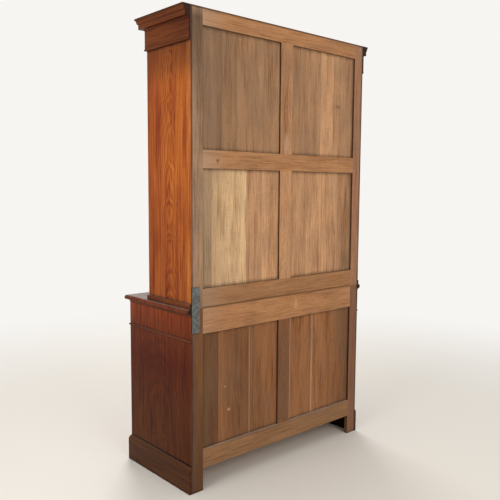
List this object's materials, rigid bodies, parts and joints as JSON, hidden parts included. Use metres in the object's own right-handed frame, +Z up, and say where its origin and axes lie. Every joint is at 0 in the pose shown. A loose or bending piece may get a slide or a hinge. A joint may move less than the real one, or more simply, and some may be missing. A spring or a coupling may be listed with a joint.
{
  "type": "two-stage cupboard",
  "caption": "Tall two-stage cupboard: shallow upper stage with glazed doors and shelves on a deeper base with drawers, panelled doors and a plinth.",
  "frame": {"origin": "on the floor, at the centre of the plan of the whole cupboard's box", "axes": "+Z up, -Y towards the front with the doors, +Y towards the oak back, +X towards the side with the joining plate"},
  "size_m": [1.354, 0.6012, 2.35],
  "materials": {
    "mahogany": "French-polished mahogany, orange to dark red-brown",
    "oak": "bare aged oak, sawn and planed",
    "pine": "bare aged pine",
    "brass": "old polished brass",
    "steel": "dull worn steel",
    "painted_plate": "blue-grey paint on sheet steel",
    "window_glass": "thin clear window glass"
  },
  "bodies": {
    "carcass": {"carcass_hinge_leaves": "brass", "cornice_moulding": "mahogany", "door_stops": "mahogany", "drawer_bead": "mahogany", "drawer_rails": "mahogany", "drawer_runners": "pine", "dust_boards": "pine", "frieze": "mahogany", "glue_blocks": "pine", "joining_plate": "painted_plate", "lower_back_frame": "oak", "lower_back_panels": "oak", "lower_bottom_board": "pine", "lower_side_left": "mahogany", "lower_side_right": "mahogany", "lower_top_board": "mahogany", "plate_screws": "steel", "plinth": "mahogany", "shelf_bearers": "pine", "shelf_ratchets": "pine", "shelves": "pine", "top_bed_moulding": "mahogany", "upper_back_muntins": "oak", "upper_back_panels": "oak", "upper_back_rails": "oak", "upper_back_stiles": "oak", "upper_base_moulding": "mahogany", "upper_bottom_board": "pine", "upper_front_rail": "mahogany", "upper_side_left": "mahogany", "upper_side_right": "mahogany", "upper_top_board": "pine"},
    "drawer_right": {"drawer_right_front": "mahogany", "drawer_right_box": "oak", "drawer_right_knobs": "mahogany"},
    "drawer_left": {"drawer_left_front": "mahogany", "drawer_left_box": "oak", "drawer_left_knobs": "mahogany"},
    "upper_door_right": {"upper_door_right_frame": "mahogany", "upper_door_right_mouldings": "mahogany", "upper_door_right_glass": "window_glass", "upper_door_right_fittings": "brass"},
    "upper_door_left": {"upper_door_left_frame": "mahogany", "upper_door_left_mouldings": "mahogany", "upper_door_left_glass": "window_glass", "upper_door_left_fittings": "brass"},
    "upper_lock_bolt": {"upper_lock_bolt": "steel"},
    "upper_key": {"upper_key": "steel"},
    "upper_slide_bolt": {"upper_slide_bolt": "brass"},
    "lower_door_right": {"lower_door_right_frame": "mahogany", "lower_door_right_mouldings": "mahogany", "lower_door_right_panel": "mahogany", "lower_door_right_fittings": "brass"},
    "lower_door_left": {"lower_door_left_frame": "mahogany", "lower_door_left_mouldings": "mahogany", "lower_door_left_panel": "mahogany", "lower_door_left_fittings": "brass"},
    "lower_lock_bolt": {"lower_lock_bolt": "steel"},
    "lower_key": {"lower_key": "steel"},
    "lower_slide_bolt": {"lower_slide_bolt": "brass"}
  },
  "joints": [
    {"name": "drawer_right_slide", "type": "slide", "parent": "carcass", "child": "drawer_right", "axis": [0, -1, 0], "range_m": [0, 0.38]},
    {"name": "drawer_left_slide", "type": "slide", "parent": "carcass", "child": "drawer_left", "axis": [0, -1, 0], "range_m": [0, 0.38]},
    {"name": "upper_door_right_hinge", "type": "hinge", "parent": "carcass", "child": "upper_door_right", "pos_m": [0.60925, -0.0744, 1.5], "axis": [0, 0, 1], "range_deg": [0, 170]},
    {"name": "upper_door_left_hinge", "type": "hinge", "parent": "carcass", "child": "upper_door_left", "pos_m": [-0.60925, -0.0744, 1.5], "axis": [0, 0, -1], "range_deg": [0, 170]},
    {"name": "upper_key_turn", "type": "hinge", "parent": "upper_door_right", "child": "upper_key", "pos_m": [0.03075, -0.0744, 1.5], "axis": [0, -1, 0], "range_deg": [0, 180]},
    {"name": "upper_lock_throw", "type": "slide", "parent": "upper_door_right", "child": "upper_lock_bolt", "axis": [-1, 0, 0], "range_m": [0, 0.01]},
    {"name": "upper_slide_bolt_lift", "type": "slide", "parent": "upper_door_left", "child": "upper_slide_bolt", "axis": [0, 0, 1], "range_m": [0, 0.012]},
    {"name": "lower_door_right_hinge", "type": "hinge", "parent": "carcass", "child": "lower_door_right", "pos_m": [0.60925, -0.2664, 0.5], "axis": [0, 0, 1], "range_deg": [0, 170]},
    {"name": "lower_door_left_hinge", "type": "hinge", "parent": "carcass", "child": "lower_door_left", "pos_m": [-0.60925, -0.2664, 0.5], "axis": [0, 0, -1], "range_deg": [0, 170]},
    {"name": "lower_key_turn", "type": "hinge", "parent": "lower_door_right", "child": "lower_key", "pos_m": [0.03075, -0.2664, 0.5], "axis": [0, -1, 0], "range_deg": [0, 180]},
    {"name": "lower_lock_throw", "type": "slide", "parent": "lower_door_right", "child": "lower_lock_bolt", "axis": [-1, 0, 0], "range_m": [0, 0.01]},
    {"name": "lower_slide_bolt_lift", "type": "slide", "parent": "lower_door_left", "child": "lower_slide_bolt", "axis": [0, 0, 1], "range_m": [0, 0.012]}
  ],
  "couplings": [
    {"joint": "upper_lock_throw", "follows": "upper_key_turn", "m_per_rad": 0.00318},
    {"joint": "lower_lock_throw", "follows": "lower_key_turn", "m_per_rad": 0.00318}
  ]
}
